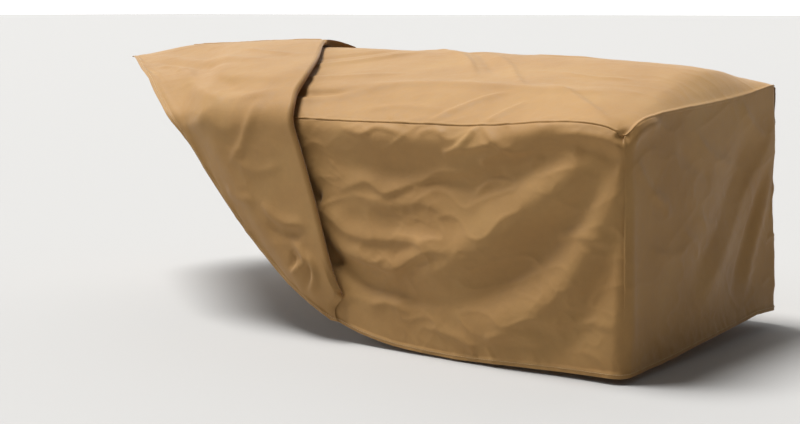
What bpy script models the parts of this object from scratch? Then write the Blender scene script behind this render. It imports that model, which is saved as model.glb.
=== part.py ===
"""Fitted outdoor sofa cover: a top panel and two skirts, its left end turned back in one deep pleat.

The cloth is laid out on the form that it drapes over. A place on that form is x, from the sofa's left end
to its right end, and run, the distance from the floor at the front, up the front, over the top and down
the back. The cloth of the pleat lies above it in two more layers.
"""

import math

import bmesh
import bpy
import numpy as np

# ---- sizes, in metres ----
SHEET = 0.002            # thickness of the cloth's solids
SEAM_GAP = 0.0003        # between two pieces that are sewn together
END_X = 2.212            # the seam along the right end
END_FLARE = 0.010        # how far the end skirt's hem stands out from that seam
CORNER_RADIUS = 0.035    # of the two right corners, in plan
TUCK_DROP = 0.020        # how far the pinched tuck pulls down the seam at the front right corner
TUCK_REACH = 0.055
MIDDLE_LAYER = 0.016     # height of the pleat's middle layer above the fitted cloth
UPPER_LAYER = 0.036      # height of its upper layer
FLAP_REST = 0.006        # height of the flap above what it lies on, past the pleat
ROLL_HEIGHT = 0.020      # the flap's raised roll along the crest
ORIGIN = (1.10, 0.43, 0.755)    # the mount under the top, measured from the sofa's left front foot

# ---- grid ----
FITTED_COLUMNS = 19
MIDDLE_COLUMNS = 8
FLAP_COLUMNS = 13
END_COLUMNS = 12
FRONT_ROWS = 18
BACK_ROWS = 9

TAN = (0.42, 0.28, 0.155, 1.0)
PIECES = [("top_panel", TAN), ("front_skirt", TAN), ("back_skirt", TAN)]

# ---- the draped form: cross-sections from the left end to the right end ----
SECTION_NAMES = ("x", "foot_y", "lip_y", "lip_z", "brow_y", "brow_z", "crest_y", "crest_z",
                 "rear_y", "rear_z", "heel_y")
SECTIONS = [
    (-0.20, -0.015, -0.005, 0.570, 0.14, 0.676, 0.48, 0.722, 0.855, 0.660, 0.890),
    (0.10, -0.015, -0.005, 0.575, 0.14, 0.682, 0.50, 0.750, 0.865, 0.680, 0.895),
    (0.40, -0.015, -0.005, 0.580, 0.14, 0.686, 0.54, 0.776, 0.870, 0.700, 0.895),
    (0.80, -0.018, -0.005, 0.590, 0.14, 0.690, 0.57, 0.794, 0.872, 0.705, 0.897),
    (1.15, -0.028, -0.008, 0.602, 0.14, 0.692, 0.58, 0.788, 0.874, 0.705, 0.900),
    (1.45, -0.042, -0.010, 0.605, 0.14, 0.692, 0.58, 0.782, 0.875, 0.705, 0.902),
    (1.75, -0.048, -0.012, 0.610, 0.14, 0.692, 0.58, 0.774, 0.875, 0.703, 0.902),
    (1.98, -0.036, -0.013, 0.626, 0.14, 0.688, 0.58, 0.764, 0.875, 0.700, 0.900),
    (2.09, -0.026, -0.013, 0.633, 0.14, 0.678, 0.58, 0.752, 0.873, 0.700, 0.898),
    (2.17, -0.022, -0.013, 0.633, 0.14, 0.660, 0.60, 0.706, 0.870, 0.698, 0.896),
    (END_X, -0.020, -0.012, 0.630, 0.14, 0.644, 0.60, 0.662, 0.865, 0.694, 0.895),
]
FOOT, LIP, BROW, CREST, REAR, HEEL = range(6)
LANDMARK_RUN = (0.0, 0.60, 0.77, 1.23, 1.53, 2.23)          # run at foot, lip, brow, crest, rear and heel
LANDMARK_ROUNDING = (0.020, 0.020, 0.035, 0.070, 0.022, 0.020)
FRONT_SEAM_RUN = LANDMARK_RUN[LIP]
BACK_SEAM_RUN = LANDMARK_RUN[REAR]

# ---- hems ----
FRONT_HEM = [("x", "run"), (1.29, 0.066), (1.345, 0.053), (1.43, 0.030), (1.57, 0.011), (1.735, 0.006),
             (1.89, 0.010), (2.09, 0.013), (END_X, 0.015)]
BACK_HEM = [("x", "run"), (1.08, 2.183), (1.20, 2.195), (1.40, 2.205), (1.80, 2.208), (2.00, 2.200),
            (END_X, 2.177)]
END_HEM = [("y", "z"), (-0.02, 0.015), (0.15, 0.013), (0.40, 0.019), (0.60, 0.022), (0.75, 0.028),
           (0.84, 0.040), (0.90, 0.053)]
# the vertical seam between the two skirts, near the back right corner: how far it lies from the corner
CORNER_SEAM = [("share_up", "from_corner"), (0.0, 0.150), (0.4, 0.060), (0.8, 0.015), (1.0, 0.0)]

# ---- the pleat: its inner fold, its outer fold, and how fully its layers stand up ----
TURN = [("run", "inner_x", "outer_x", "stand"),
        (0.054, 1.345, 1.318, 0.00), (0.092, 1.318, 1.333, 0.25), (0.127, 1.280, 1.365, 0.70),
        (0.160, 1.240, 1.347, 0.90), (0.230, 1.160, 1.317, 1.00), (0.372, 1.030, 1.264, 1.00),
        (0.561, 0.885, 1.188, 1.10), (0.609, 0.855, 1.166, 1.25), (0.675, 0.815, 1.128, 1.20),
        (0.749, 0.780, 1.100, 1.00), (0.885, 0.700, 1.024, 0.90), (1.207, 0.490, 0.820, 0.60),
        (1.365, 0.410, 0.730, 0.60), (1.530, 0.360, 0.680, 1.55), (1.640, 0.400, 0.710, 1.50),
        (1.810, 0.550, 0.850, 1.00), (2.055, 0.840, 1.050, 0.90), (2.132, 0.980, 1.105, 0.50),
        (2.188, 1.115, 1.090, 0.00)]

# where the outer fold lies, for a share of the way from the hem to the seam
FRONT_FOLD = [("share", "run"), (0.0, 0.054), (0.067, 0.127), (0.15, 0.230), (0.27, 0.372), (0.43, 0.561),
              (0.59, 0.749), (0.72, 0.885), (1.0, 1.207)]
BACK_FOLD = [("share", "run"), (0.0, 2.188), (0.05, 2.132), (0.13, 2.055), (0.40, 1.810), (0.70, 1.530),
             (1.0, 1.365)]

# ---- the flap's edges, from the outer fold to the far side ----
FLAP_HEM = [("share", "x", "run"), (0.0, 1.318, 0.054), (0.116, 1.157, 0.148), (0.227, 1.016, 0.255),
            (0.37, 0.854, 0.418), (0.47, 0.746, 0.538), (0.557, 0.632, 0.628), (0.65, 0.515, 0.714),
            (0.80, 0.329, 0.867), (1.0, 0.030, 1.190)]
FLAP_SEAM = [("share", "x", "run"), (0.0, 0.800, 1.207), (0.5, 0.520, 1.230), (1.0, 0.260, 1.236)]
LEFT_HEM = [("share", "x", "run"), (0.0, 0.030, 1.190), (0.2, -0.020, 1.260), (0.5, -0.030, 1.365),
            (0.8, 0.000, 1.485), (1.0, 0.050, 1.586)]
LEFT_SEAM = [("share", "x", "run"), (0.0, 0.260, 1.236), (0.5, 0.200, 1.296), (1.0, 0.240, 1.365)]
BACK_FLAP_HEM = [("share", "x", "run"), (0.0, 1.090, 2.188), (0.2, 0.850, 2.146), (0.5, 0.450, 2.020),
                 (0.8, 0.150, 1.775), (1.0, 0.050, 1.586)]
BACK_FLAP_SEAM = [("share", "x", "run"), (0.0, 0.820, 1.365), (0.5, 0.500, 1.365), (1.0, 0.240, 1.365)]

# ---- main folds of the front: height (a valley is negative), half width, and the line it follows ----
FRONT_FOLDS = [
    ("swag under the tuck", 0.012, 0.035,
     [(2.18, 0.57), (2.11, 0.53), (1.97, 0.45), (1.83, 0.37), (1.72, 0.29), (1.55, 0.23), (1.40, 0.24)]),
    ("swag near the corner", 0.010, 0.040,
     [(2.17, 0.48), (2.11, 0.36), (2.01, 0.24), (1.86, 0.17), (1.70, 0.14)]),
    ("hollow below the seam", -0.010, 0.028,
     [(2.16, 0.58), (1.98, 0.55), (1.83, 0.50), (1.66, 0.50), (1.44, 0.51), (1.28, 0.54)]),
    ("hollow under the swag", -0.013, 0.040,
     [(2.16, 0.52), (2.05, 0.43), (1.95, 0.35), (1.79, 0.23), (1.66, 0.17), (1.47, 0.18), (1.33, 0.22)]),
    ("hollow by the corner", -0.009, 0.045, [(2.17, 0.38), (2.12, 0.27), (2.02, 0.11), (1.90, 0.03)]),
]


def column(table, value, name):
    """A smooth monotone curve through one column of a table, read at value of its first column."""
    rows = np.array(table[1:], float)
    at, heights = rows[:, 0], rows[:, table[0].index(name)]
    step = np.diff(at)
    slope = np.diff(heights) / step
    tangent = np.zeros_like(heights)
    for i in range(1, len(at) - 1):
        if slope[i - 1] * slope[i] > 0:
            left, right = 2 * step[i] + step[i - 1], step[i] + 2 * step[i - 1]
            tangent[i] = (left + right) / (left / slope[i - 1] + right / slope[i])
    tangent[0], tangent[-1] = slope[0], slope[-1]
    value = np.asarray(value, float)
    k = np.clip(np.searchsorted(at, value) - 1, 0, len(at) - 2)
    t = np.clip((value - at[k]) / step[k], 0.0, 1.0)
    return ((1 + 2 * t) * (1 - t) ** 2 * heights[k] + t * (1 - t) ** 2 * step[k] * tangent[k]
            + t * t * (3 - 2 * t) * heights[k + 1] + t * t * (t - 1) * step[k] * tangent[k + 1])


def ease(t):
    """0 below 0, 1 above 1, and smooth between."""
    t = np.clip(t, 0.0, 1.0)
    return t * t * (3 - 2 * t)


def blend(a, b, t):
    return a + (b - a) * t


def form_table(stations=140, steps=60):
    """Rounded cross-sections of the draped form, as (station, step, y and z)."""
    table = [SECTION_NAMES] + SECTIONS
    xs = np.linspace(SECTIONS[0][0], SECTIONS[-1][0], stations)
    read = {name: column(table, xs, name) for name in SECTION_NAMES[1:]}
    floor = np.zeros(stations)
    ys = np.stack([read[n] for n in ("foot_y", "lip_y", "brow_y", "crest_y", "rear_y", "heel_y")], 1)
    zs = np.stack([floor, read["lip_z"], read["brow_z"], read["crest_z"], read["rear_z"], floor], 1)
    marks = np.linspace(FOOT, HEEL, HEEL * steps + 1)
    radius = np.interp(marks, range(6), LANDMARK_ROUNDING)
    offsets = np.linspace(-2.2, 2.2, 13)
    weights = np.exp(-0.5 * offsets ** 2)
    weights /= weights.sum()
    form = np.zeros((stations, len(marks), 2))
    for k in range(stations):
        arc = np.concatenate([[0.0], np.cumsum(np.hypot(np.diff(ys[k]), np.diff(zs[k])))])
        along = np.interp(marks, range(6), arc)
        reach = np.concatenate([[-1.0], arc, [arc[-1] + 1.0]])
        for axis, line in enumerate((ys[k], zs[k])):
            start = line[0] - (line[1] - line[0]) / (arc[1] - arc[0])
            end = line[-1] + (line[-1] - line[-2]) / (arc[-1] - arc[-2])
            line = np.concatenate([[start], line, [end]])
            for offset, weight in zip(offsets, weights):
                form[k, :, axis] += weight * np.interp(along + offset * radius, reach, line)
    return form


FORM = form_table()
FORM_X0, FORM_STEP = SECTIONS[0][0], (END_X - SECTIONS[0][0]) / (len(FORM) - 1)


def draped(x, run):
    """Points of the draped form at x and run."""
    x, run = np.broadcast_arrays(np.asarray(x, float), np.asarray(run, float))
    steps = (FORM.shape[1] - 1) / HEEL
    a = np.clip((x - FORM_X0) / FORM_STEP, 0, FORM.shape[0] - 1.001)
    b = np.clip(np.interp(run, LANDMARK_RUN, range(6)) * steps, 0, FORM.shape[1] - 1.001)
    i, j = a.astype(int), b.astype(int)
    s, t = (a - i)[..., None], (b - j)[..., None]
    yz = blend(blend(FORM[i, j], FORM[i, j + 1], t), blend(FORM[i + 1, j], FORM[i + 1, j + 1], t), s)
    return np.concatenate([x[..., None], yz], -1)


def outward(x, run, step=0.006):
    """Unit vectors that point out of the draped form."""
    x = np.minimum(x, END_X - step)
    run = np.clip(run, step, LANDMARK_RUN[HEEL] - step)
    across = draped(x + step, run) - draped(x - step, run)
    over = draped(x, run + step) - draped(x, run - step)
    normal = np.cross(across, over)
    return normal / np.linalg.norm(normal, axis=-1, keepdims=True)


def smooth_path(points, per_leg=8):
    """A curve through a few points, as a fine polyline."""
    p = np.array([points[0]] + list(points) + [points[-1]], float)
    t = np.linspace(0, 1, per_leg, endpoint=False)[:, None]
    legs = []
    for a, b, c, d in zip(p, p[1:], p[2:], p[3:]):
        legs.append(0.5 * (2 * b + (c - a) * t + (2 * a - 5 * b + 4 * c - d) * t ** 2
                           + (3 * b - a - 3 * c + d) * t ** 3))
    return np.concatenate(legs + [p[-1:]])


def fold_heights(x, z, folds):
    """Height of soft ridges and hollows that follow lines over a wall of cloth."""
    total = np.zeros_like(x)
    place = np.stack([x, z], -1)
    for _, height, half_width, line in folds:
        path = smooth_path(line)
        nearest, share = np.full(x.shape, 9.0), np.zeros_like(x)
        for k, (a, b) in enumerate(zip(path, path[1:])):
            t = np.clip(((place - a) @ (b - a)) / ((b - a) @ (b - a)), 0, 1)
            distance = np.linalg.norm(place - a - t[..., None] * (b - a), axis=-1)
            share = np.where(distance < nearest, (k + t) / (len(path) - 1), share)
            nearest = np.minimum(distance, nearest)
        ends = ease(share / 0.2) * ease((1 - share) / 0.2)
        total += height * (0.25 + 0.75 * ends) * np.exp(-(nearest / half_width) ** 2)
    return total


def side_tables(side):
    if side == "front":
        return FRONT_HEM, FRONT_SEAM_RUN, FRONT_FOLD, FLAP_HEM, FLAP_SEAM, TURN[1]
    return BACK_HEM, BACK_SEAM_RUN, BACK_FOLD, BACK_FLAP_HEM, BACK_FLAP_SEAM, TURN[-1]


def fitted_line(share, v, side):
    """A line up the fitted skirt: share 0 at the right end and 1 at the pleat's inner fold."""
    hem, seam_run, _, _, _, first_turn = side_tables(side)
    run = blend(column(hem, blend(END_X, first_turn[1], share), "run"), seam_run, v)
    x = blend(END_X, column(TURN, run, "inner_x"), share)
    if side == "back" and share == 0:
        x = x + column(CORNER_SEAM, v, "from_corner")
    elif side == "back" and share < 1.5 / FITTED_COLUMNS:
        x = blend(END_X, x, ease((v - 0.4) / 0.6))
    return x, run


def flap_line(share, v, side):
    """A line over the flap from its hem to its seam: share 0 at the outer fold, 1 at the far side."""
    _, _, fold, hem, seam, _ = side_tables(side)
    x = blend(column(hem, share, "x"), column(seam, share, "x"), v)
    run = blend(column(hem, share, "run"), column(seam, share, "run"), v)
    fold_run = column(fold, v, "run")
    straight_x, straight_run = blend(hem[1][1], seam[1][1], v), blend(hem[1][2], seam[1][2], v)
    near = (1 - share) ** 1.5
    return x + near * (column(TURN, fold_run, "outer_x") - straight_x), run + near * (fold_run - straight_run)


def flap_height(x, run):
    """Height of the upper layer over the form: on the pleat, past it, and along its raised roll."""
    over_pleat = ease((x - column(TURN, run, "inner_x") + 0.14) / 0.14)
    rest = FLAP_REST * ease((1.32 - x) / 0.10)
    roll = ease((x - 0.02) / 0.25) * (1 - over_pleat) * np.exp(-((run - 1.25) / 0.10) ** 2)
    return rest + (UPPER_LAYER - rest) * column(TURN, run, "stand") * over_pleat + ROLL_HEIGHT * roll


def pleat_lines(inner_run, outer_run):
    """Lines of the inner fold, the middle layer and the outer fold, between fitted cloth and flap."""
    inner, outer = column(TURN, inner_run, "inner_x"), column(TURN, outer_run, "outer_x")
    inner_stand, outer_stand = column(TURN, inner_run, "stand"), column(TURN, outer_run, "stand")
    low, high = MIDDLE_LAYER * outer_stand, UPPER_LAYER * outer_stand
    first = MIDDLE_LAYER * inner_stand
    lines = []
    for angle in (-0.5, 0.5):
        lines.append((inner - 0.6 * first * math.cos(angle), inner_run, first / 2 * (1 + math.sin(angle))))
    for share in np.linspace(0, 1, MIDDLE_COLUMNS + 1):
        lines.append((blend(inner, outer, share), blend(inner_run, outer_run, share), blend(first, low, share)))
    for angle in (-0.8, 0.0, 0.8):
        lines.append((outer + (high - low) / 2 * math.cos(angle), outer_run,
                      low + (high - low) / 2 * (1 + math.sin(angle))))
    folded = ease(np.minimum(inner_stand, outer_stand) / 0.8)
    flattened = []
    for k, (x, run, height) in enumerate(lines):
        share = (k + 1) / (len(lines) + 1)
        flat_x, flat_run = blend(inner, outer, share), blend(inner_run, outer_run, share)
        flattened.append((blend(flat_x, x, folded), blend(flat_run, run, folded), height * folded))
    return flattened


def skirt_lines(v, side):
    """Lines up a skirt from its right end, through the pleat, to the flap's far side."""
    lines = [fitted_line(share, v, side) + (np.zeros_like(v),)
             for share in np.linspace(0, 1, FITTED_COLUMNS + 1)]
    lines += pleat_lines(lines[-1][1], column(side_tables(side)[2], v, "run"))
    for share in np.linspace(0, 1, FLAP_COLUMNS + 1):
        x, run = flap_line(np.full_like(v, share), v, side)
        lines.append((x, run, flap_height(x, run)))
    return lines


def left_end_lines(v):
    """Lines up the left end's part of the skirt, which lies over the top behind the flap."""
    lines = []
    for share in np.linspace(0, 1, END_COLUMNS + 1):
        x = blend(column(LEFT_HEM, share, "x"), column(LEFT_SEAM, share, "x"), v)
        run = blend(column(LEFT_HEM, share, "run"), column(LEFT_SEAM, share, "run"), v)
        lines.append((x, run, flap_height(x, run)))
    return lines


def top_lines():
    """Lines over the top panel from its front seam to its back seam, one for each line of the skirts."""
    across = np.linspace(0, 1, END_COLUMNS + 1)
    runs = blend(FRONT_SEAM_RUN, BACK_SEAM_RUN, across)
    lines = []
    for share in np.linspace(0, 1, FITTED_COLUMNS + 1):
        lines.append((blend(END_X, column(TURN, runs, "inner_x"), share), runs, np.zeros_like(runs)))
    lines += pleat_lines(runs, blend(FLAP_SEAM[1][2], BACK_FLAP_SEAM[1][2], across))
    for share in np.linspace(0, 1, FLAP_COLUMNS + 1):
        x = blend(column(FLAP_SEAM, share, "x"), column(BACK_FLAP_SEAM, share, "x"), across)
        run = blend(column(FLAP_SEAM, share, "run"), column(BACK_FLAP_SEAM, share, "run"), across)
        bulge = share ** 4 * (column(LEFT_SEAM, across, "x") - blend(LEFT_SEAM[1][1], LEFT_SEAM[-1][1], across))
        lines.append((x + bulge, run, flap_height(x + bulge, run)))
    return lines


def over_form(lines):
    """Lines of x, run and height as points, in an array of (line, row, xyz)."""
    x, run, height = (np.array([line[k] for line in lines]) for k in range(3))
    on_form = np.minimum(x, END_X)
    points = draped(on_form, run) + outward(on_form, run) * height[..., None]
    points[..., 1] -= x - on_form
    points[..., 0] += end_relief(points[..., 1], points[..., 2]) * ease((x - on_form) / 0.06)
    return points


def end_relief(y, z):
    """How far the right end's wall bulges out or hangs in."""
    waist = np.sin(math.pi * np.clip(z / 0.64, 0, 1))
    return waist * (0.010 * np.exp(-((y - 0.30) / 0.18) ** 2) - 0.014 * np.exp(-((y - 0.66) / 0.15) ** 2))


def right_end_grid(front_edge, seam, back_edge):
    """The right end's wall between its front edge, the seam over it and the seam at its back."""
    rows = len(front_edge)
    v = np.linspace(0, 1, rows)[None, :]
    share = ((seam[:, 1] - seam[0, 1]) / (seam[-1, 1] - seam[0, 1]))[:, None]
    y = blend(front_edge[None, :, 1], back_edge[None, :, 1], share)
    hem_z = blend(front_edge[0, 2], back_edge[0, 2], share)
    hem_z += column(END_HEM, y[:, :1], "z") - blend(column(END_HEM, front_edge[0, 1], "z"),
                                                    column(END_HEM, back_edge[0, 1], "z"), share)
    z = blend(hem_z, seam[:, 2][:, None], v)
    x = seam[:, 0][:, None] + end_relief(y, z)
    return np.stack([x, y, z], -1)


def shape_right_end(points):
    """Flares the right end's wall, rounds its two corners in plan and pulls in the tuck at the front."""
    x, y, z = points[..., 0], points[..., 1], points[..., 2]
    edge_x = np.full_like(x, END_X)
    front = draped(edge_x, np.clip(z, 0, 0.6))[..., 1]
    back = draped(edge_x, LANDMARK_RUN[HEEL] - np.clip(z, 0, 0.7))[..., 1]
    flare = END_FLARE * np.clip(1 - z / 0.63, 0, 1)
    x = x + flare * ease((x - END_X + 0.2) / 0.2)
    end = END_X + flare
    for sign, edge in ((-1, front), (1, back)):
        a = (x - end + CORNER_RADIUS) / CORNER_RADIUS
        b = (sign * (y - edge) + CORNER_RADIUS) / CORNER_RADIUS
        most = np.maximum(np.maximum(a, b), 1.0)
        a, b = a / most, b / most
        near = (a > 0) & (b > 0)
        round_x = most * a * np.sqrt(np.clip(1 - b * b / 2, 0.5, 1))
        round_y = most * b * np.sqrt(np.clip(1 - a * a / 2, 0.5, 1))
        x = np.where(near, end + CORNER_RADIUS * (round_x - 1), x)
        y = np.where(near, edge + sign * CORNER_RADIUS * (round_y - 1), y)
    from_corner = np.hypot(points[..., 0] - END_X, points[..., 1] + 0.012)
    drop = TUCK_DROP * np.exp(-(from_corner / TUCK_REACH) ** 2) * ease((z - 0.45) / 0.18)
    return np.stack([x, y, z - drop], -1)


def lay_out_cloth():
    """The three pieces as grids of points on the middle of the cloth, in the sofa's frame."""
    v_front, v_back = np.linspace(0, 1, FRONT_ROWS + 1), np.linspace(0, 1, BACK_ROWS + 1)
    front, back = over_form(skirt_lines(v_front, "front")), over_form(skirt_lines(v_back, "back"))
    top = over_form(top_lines())
    wall = front[:FITTED_COLUMNS + 1]
    folds = fold_heights(wall[..., 0], wall[..., 2], FRONT_FOLDS) * ease((0.61 - wall[..., 2]) / 0.06)
    wall += outward(wall[..., 0], np.clip(wall[..., 2], 0.0, 0.6)) * folds[..., None]
    end = right_end_grid(front[0], top[0], doubled(back[0]))
    end[0], end[-1] = front[0], doubled(back[0])
    left = over_form(left_end_lines(v_front))
    left[0], left[-1] = front[-1], doubled(back[-1])
    end[:, -1], left[:, -1] = top[0], top[-1]
    front[:, -1], back[:, -1] = top[:, 0], top[:, -1]
    skirt = np.concatenate([end[:0:-1], front, left[1:]])
    return shape_right_end(top), shape_right_end(skirt), shape_right_end(back)


def doubled(line):
    """A line of points with one more halfway between each two."""
    fine = np.zeros((2 * len(line) - 1,) + line.shape[1:])
    fine[::2] = line
    fine[1::2] = (line[1:] + line[:-1]) / 2
    return fine


def main():
    start_clean()
    collection = bpy.data.collections.new("outdoor_sofa_cover")
    bpy.context.scene.collection.children.link(collection)
    sewn = sew(*lay_out_cloth())
    for (name, colour), (grid, offset) in zip(PIECES, sewn):
        obj = sheet_object(name, grid - np.array(ORIGIN), offset)
        obj.data.materials.append(cloth_material(name + "_cloth", colour))
        collection.objects.link(obj)


def start_clean():
    for obj in list(bpy.data.objects):
        bpy.data.objects.remove(obj, do_unlink=True)


def grid_normals(grid, side):
    """Unit normals of a grid, pointing to the outer face of the cloth."""
    a, b, c, d = grid[:-1, :-1], grid[:-1, 1:], grid[1:, 1:], grid[1:, :-1]
    of_face = np.cross(c - a, d - b) * side
    normal = np.zeros_like(grid)
    for i in (slice(None, -1), slice(1, None)):
        for j in (slice(None, -1), slice(1, None)):
            normal[i, j] += of_face
    return normal / np.linalg.norm(normal, axis=-1, keepdims=True)


def sew(top, skirt, back):
    """Normals that the pieces share along their seams, and their edges drawn back by half a gap."""
    grids = {"top": top, "skirt": skirt, "back": back}
    normals = {name: grid_normals(grid, -1 if name == "back" else 1) for name, grid in grids.items()}
    own = {name: normal.copy() for name, normal in normals.items()}
    first, last = END_COLUMNS, len(skirt) - END_COLUMNS
    row, end = slice(None), -1
    seams = [
        (("top", (row, 0)), ("skirt", (slice(first, last), end))),
        (("top", (0, row)), ("skirt", (slice(first, None, -1), end))),
        (("top", (end, row)), ("skirt", (slice(last - 1, None), end))),
        (("top", (row, end)), ("back", (row, end))),
        (("skirt", (0, slice(None, None, 2))), ("back", (0, row))),
        (("skirt", (end, slice(None, None, 2))), ("back", (end, row))),
    ]
    for _ in range(3):
        for (name_a, at_a), (name_b, at_b) in seams:
            together = normals[name_a][at_a] + normals[name_b][at_b]
            together /= np.linalg.norm(together, axis=-1, keepdims=True)
            normals[name_a][at_a] = together
            normals[name_b][at_b] = together
    sewn = []
    for name, grid in grids.items():
        square = np.clip(np.sum(normals[name] * own[name], -1, keepdims=True), 0.6, 1.0)
        offset = normals[name] / square * SHEET / 2
        pull = SEAM_GAP / 2 / square
        drawn = grid.copy()
        for edge, inner in seam_edges(name, first, last):
            inward = grid[inner] - grid[edge]
            drawn[edge] += inward / np.linalg.norm(inward, axis=-1, keepdims=True) * pull[edge]
        if name == "skirt":
            for end_line in (0, -1):
                drawn[end_line] = doubled(drawn[end_line, ::2])
                offset[end_line] = doubled(offset[end_line, ::2])
        sewn.append((drawn, offset))
    return sewn


def seam_edges(name, first, last):
    """The sewn edges of a piece, each with the line of points next to it."""
    row = slice(None)
    edges = [((row, -1), (row, -2)), ((0, row), (1, row)), ((-1, row), (-2, row))]
    if name == "top":
        edges.append(((row, 0), (row, 1)))
    return edges


def sheet_object(name, grid, offset):
    """A closed sheet of cloth around a grid of points, half its thickness to either side."""
    columns, rows = grid.shape[:2]
    points = np.concatenate([(grid + offset).reshape(-1, 3), (grid - offset).reshape(-1, 3)])
    under = columns * rows
    triangles = []
    for i in range(columns - 1):
        for j in range(rows - 1):
            corner = i * rows + j
            quad = [corner, corner + 1, corner + rows + 1, corner + rows]
            for k in split_quad(quad, grid.reshape(-1, 3)):
                triangles += [k, [under + index for index in reversed(k)]]
    border = [i * rows for i in range(columns)] + list(range((columns - 1) * rows + 1, columns * rows))
    border += [i * rows + rows - 1 for i in range(columns - 2, -1, -1)] + list(range(rows - 2, 0, -1))
    for a, b in zip(border, border[1:] + border[:1]):
        triangles += split_quad([a, b, under + b, under + a], points)
    mesh = bpy.data.meshes.new(name)
    bm = bmesh.new()
    verts = [bm.verts.new(p) for p in points]
    for triangle in triangles:
        bm.faces.new([verts[k] for k in triangle])
    bmesh.ops.recalc_face_normals(bm, faces=bm.faces[:])
    bm.to_mesh(mesh)
    bm.free()
    return bpy.data.objects.new(name, mesh)


def split_quad(quad, points):
    """Two triangles of a quad, along its shorter diagonal."""
    a, b, c, d = quad
    if np.linalg.norm(points[a] - points[c]) <= np.linalg.norm(points[b] - points[d]):
        return [[a, b, c], [a, c, d]]
    return [[b, c, d], [b, d, a]]


def cloth_material(name, colour):
    material = bpy.data.materials.new(name)
    material.use_nodes = True
    shader = material.node_tree.nodes["Principled BSDF"]
    shader.inputs["Base Color"].default_value = colour
    shader.inputs["Roughness"].default_value = 0.8
    shader.inputs["Metallic"].default_value = 0.0
    return material


main()
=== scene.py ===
"""Fitted outdoor sofa cover of coated woven polyester, its left end turned back in one deep pleat."""
import math

import bpy
import numpy as np
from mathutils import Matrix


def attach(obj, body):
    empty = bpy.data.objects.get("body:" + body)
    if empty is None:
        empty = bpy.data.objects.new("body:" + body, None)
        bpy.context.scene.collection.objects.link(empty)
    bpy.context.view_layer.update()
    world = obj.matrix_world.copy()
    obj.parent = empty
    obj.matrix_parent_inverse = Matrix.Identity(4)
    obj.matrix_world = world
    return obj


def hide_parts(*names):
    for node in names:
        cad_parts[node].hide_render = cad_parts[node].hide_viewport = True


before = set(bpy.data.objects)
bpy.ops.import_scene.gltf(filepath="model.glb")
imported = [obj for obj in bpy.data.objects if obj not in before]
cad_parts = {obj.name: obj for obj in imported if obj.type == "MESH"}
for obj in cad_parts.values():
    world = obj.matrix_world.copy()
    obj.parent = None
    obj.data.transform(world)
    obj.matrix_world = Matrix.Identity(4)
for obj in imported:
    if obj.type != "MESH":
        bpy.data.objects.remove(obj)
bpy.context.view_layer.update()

# ---- sizes in metres, in the sofa's own frame: x from its left end, y from its front, z from the floor ----
MOUNT = np.array([1.10, 0.43, 0.755])   # the mount under the top, which is the origin of the model
END_X = 2.212            # the seam along the right end
END_FLARE = 0.010        # how far the end skirt's hem stands out from that seam
END_HEIGHT = 0.61        # of the end's wall, from its hem to that seam
CORNER_RADIUS = 0.035    # of the two right corners, in plan
TUCK_DROP = 0.020        # how far the pinched tuck pulls down the seam at the front right corner
TUCK_REACH = 0.055
MIDDLE_LAYER = 0.016     # height of the pleat's middle layer above the fitted cloth
UPPER_LAYER = 0.036      # height of its upper layer
FLAP_REST = 0.006        # height of the flap above what it lies on, past the pleat
ROLL_HEIGHT = 0.020      # the flap's raised roll along the crest

HEM_WIDTH = 0.014        # the hem's folded band
HEM_RISE = 0.0014        # how much thicker the band is than the cloth
SEAM_RISE = 0.0024       # the seam's turned-in edges make a low ridge on the top panel
STITCH_PITCH = 0.0070    # drawn twice as coarse as real lockstitch, so that it shows
STITCH_LENGTH = 0.0052
THREAD_RADIUS = 0.0007

# lines of cloth in each piece
FITTED_LINES = 210
MIDDLE_LINES = 14
TURN_LINES = 9
FLAP_LINES = 170
RIGHT_END_LINES = 130
SKIRT_ROWS = 128
BACK_ROWS = 96

# ---- the draped form: cross-sections from the left end to the right end ----
SECTION_NAMES = ("x", "foot_y", "lip_y", "lip_z", "brow_y", "brow_z", "crest_y", "crest_z",
                 "rear_y", "rear_z", "heel_y")
SECTIONS = [
    (-0.20, -0.015, -0.005, 0.570, 0.14, 0.676, 0.48, 0.722, 0.855, 0.660, 0.890),
    (0.10, -0.015, -0.005, 0.575, 0.14, 0.682, 0.50, 0.750, 0.865, 0.680, 0.895),
    (0.40, -0.015, -0.005, 0.580, 0.14, 0.686, 0.54, 0.776, 0.870, 0.700, 0.895),
    (0.80, -0.018, -0.005, 0.590, 0.14, 0.690, 0.57, 0.794, 0.872, 0.705, 0.897),
    (1.15, -0.028, -0.008, 0.602, 0.14, 0.692, 0.58, 0.788, 0.874, 0.705, 0.900),
    (1.45, -0.042, -0.010, 0.605, 0.14, 0.692, 0.58, 0.782, 0.875, 0.705, 0.902),
    (1.75, -0.048, -0.012, 0.610, 0.14, 0.692, 0.58, 0.774, 0.875, 0.703, 0.902),
    (1.98, -0.036, -0.013, 0.626, 0.14, 0.688, 0.58, 0.764, 0.875, 0.700, 0.900),
    (2.09, -0.026, -0.013, 0.633, 0.14, 0.678, 0.58, 0.752, 0.873, 0.700, 0.898),
    (2.17, -0.022, -0.013, 0.633, 0.14, 0.660, 0.60, 0.706, 0.870, 0.698, 0.896),
    (END_X, -0.020, -0.012, 0.630, 0.14, 0.644, 0.60, 0.662, 0.865, 0.694, 0.895),
]
FOOT, LIP, BROW, CREST, REAR, HEEL = range(6)
LANDMARK_RUN = (0.0, 0.60, 0.77, 1.23, 1.53, 2.23)          # run at foot, lip, brow, crest, rear and heel
LANDMARK_ROUNDING = (0.020, 0.020, 0.035, 0.070, 0.022, 0.020)
FRONT_SEAM_RUN = LANDMARK_RUN[LIP]
BACK_SEAM_RUN = LANDMARK_RUN[REAR]

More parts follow.
